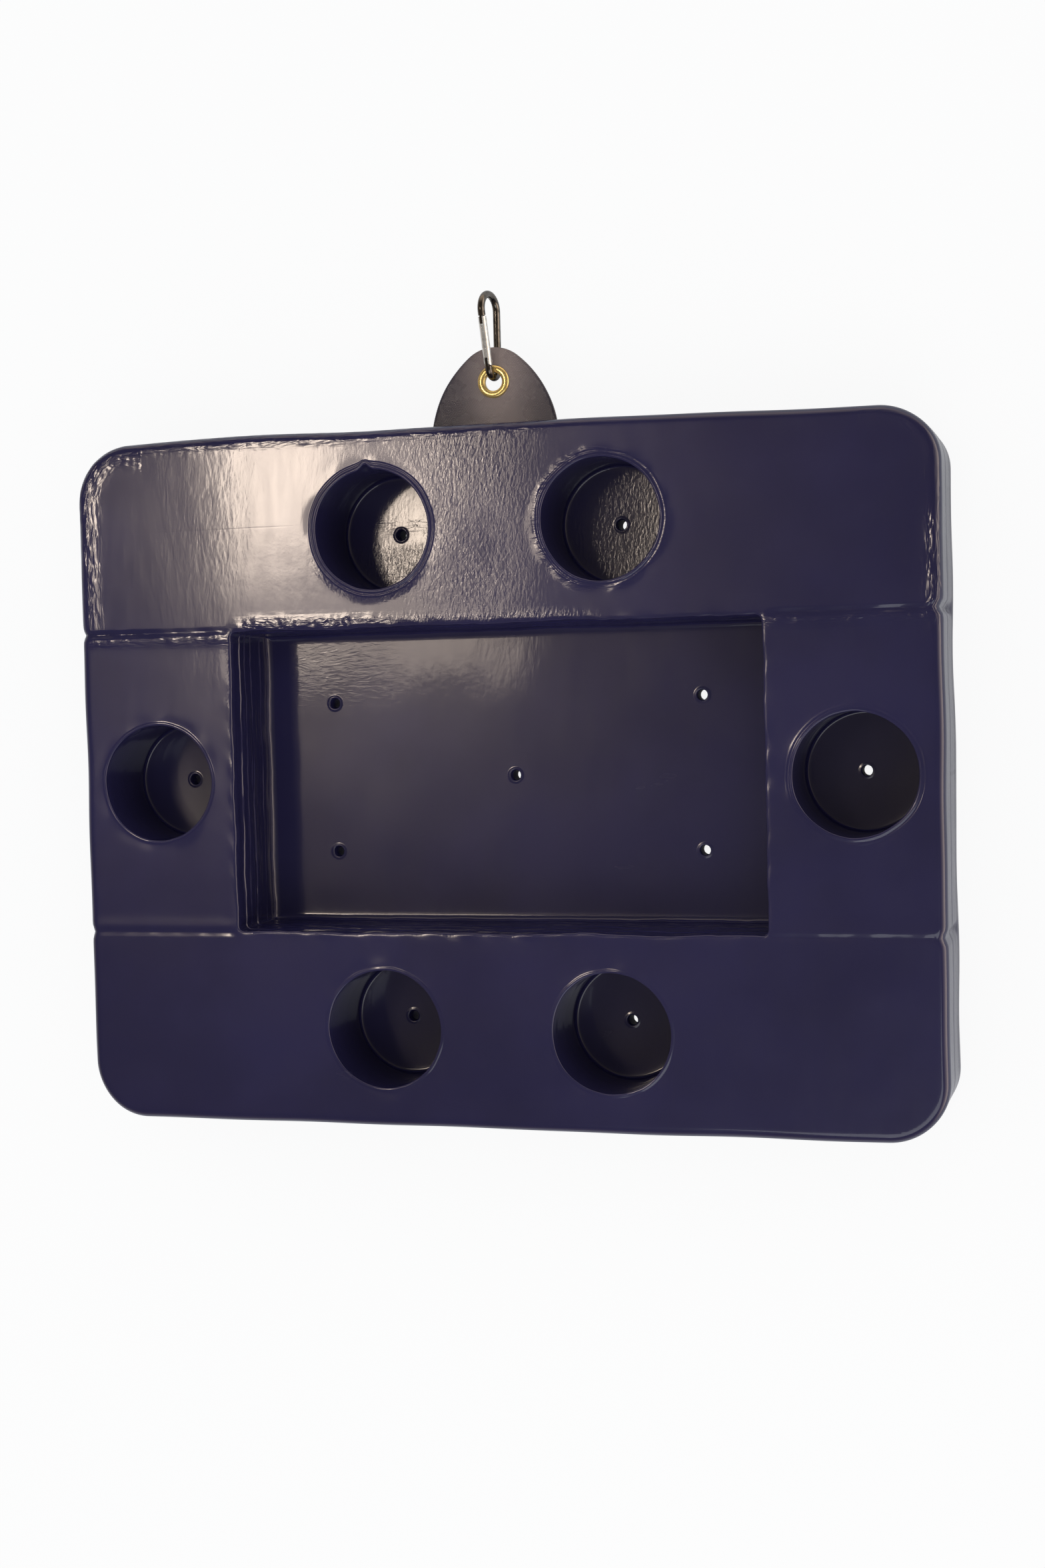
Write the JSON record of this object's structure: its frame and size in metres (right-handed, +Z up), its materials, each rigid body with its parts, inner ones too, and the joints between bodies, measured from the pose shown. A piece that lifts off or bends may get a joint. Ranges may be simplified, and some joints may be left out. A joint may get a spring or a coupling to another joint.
{
  "type": "floating drinks tray",
  "caption": "Buoyant coated-foam tray with round cup pockets, a drained centre well, and a grommeted cloth tab that carries a spring snap clip.",
  "frame": {"origin": "centre of the tray's underside, at the mouth of the centre drain", "axes": "+X along the tray's length, +Y towards the side with the tab and clip, +Z up with the pockets opening upwards"},
  "size_m": [0.6244, 0.5877, 0.0799],
  "materials": {
    "foam": "closed-cell foam sheet, hidden by the coat",
    "vinyl": "glossy dipped vinyl, faint orange peel",
    "coated_cloth": "vinyl-coated woven cloth, satin",
    "brass": "polished",
    "clip_steel": "polished dark nickel",
    "gate_steel": "polished nickel"
  },
  "bodies": {
    "tray": {"base_sheet": "foam", "lower_back_rail": "foam", "lower_front_rail": "foam", "lower_left_bar": "foam", "lower_right_bar": "foam", "upper_back_rail": "foam", "upper_front_rail": "foam", "upper_left_bar": "foam", "upper_right_bar": "foam", "vinyl_skin": "vinyl", "underside_coat": "vinyl", "tab_anchor": "coated_cloth"},
    "tab": {"tab_flap": "coated_cloth", "grommet_eyelet": "brass", "grommet_washer": "brass"},
    "clip": {"clip_body": "clip_steel", "gate_rivet": "clip_steel"},
    "gate": {"clip_gate": "gate_steel", "latch_pin": "clip_steel"}
  },
  "joints": [
    {"name": "tab_fold", "type": "hinge", "parent": "tray", "child": "tab", "pos_m": [0, 0.2472, 0.04565], "axis": [1, 0, 0], "range_deg": [-60, 60], "stiffness_Nm_per_rad": 0.1},
    {"name": "clip_swivel", "type": "hinge", "parent": "tab", "child": "clip", "pos_m": [0, 0.2786, 0.04565], "axis": [0, 0, 1], "range_deg": [-75, 75]},
    {"name": "gate_open", "type": "hinge", "parent": "clip", "child": "gate", "pos_m": [-0.00157, 0.29206, 0.05305], "axis": [-0.9781, 0, -0.2079], "range_deg": [0, 26], "stiffness_Nm_per_rad": 0.02, "springref_deg": -11.46}
  ]
}
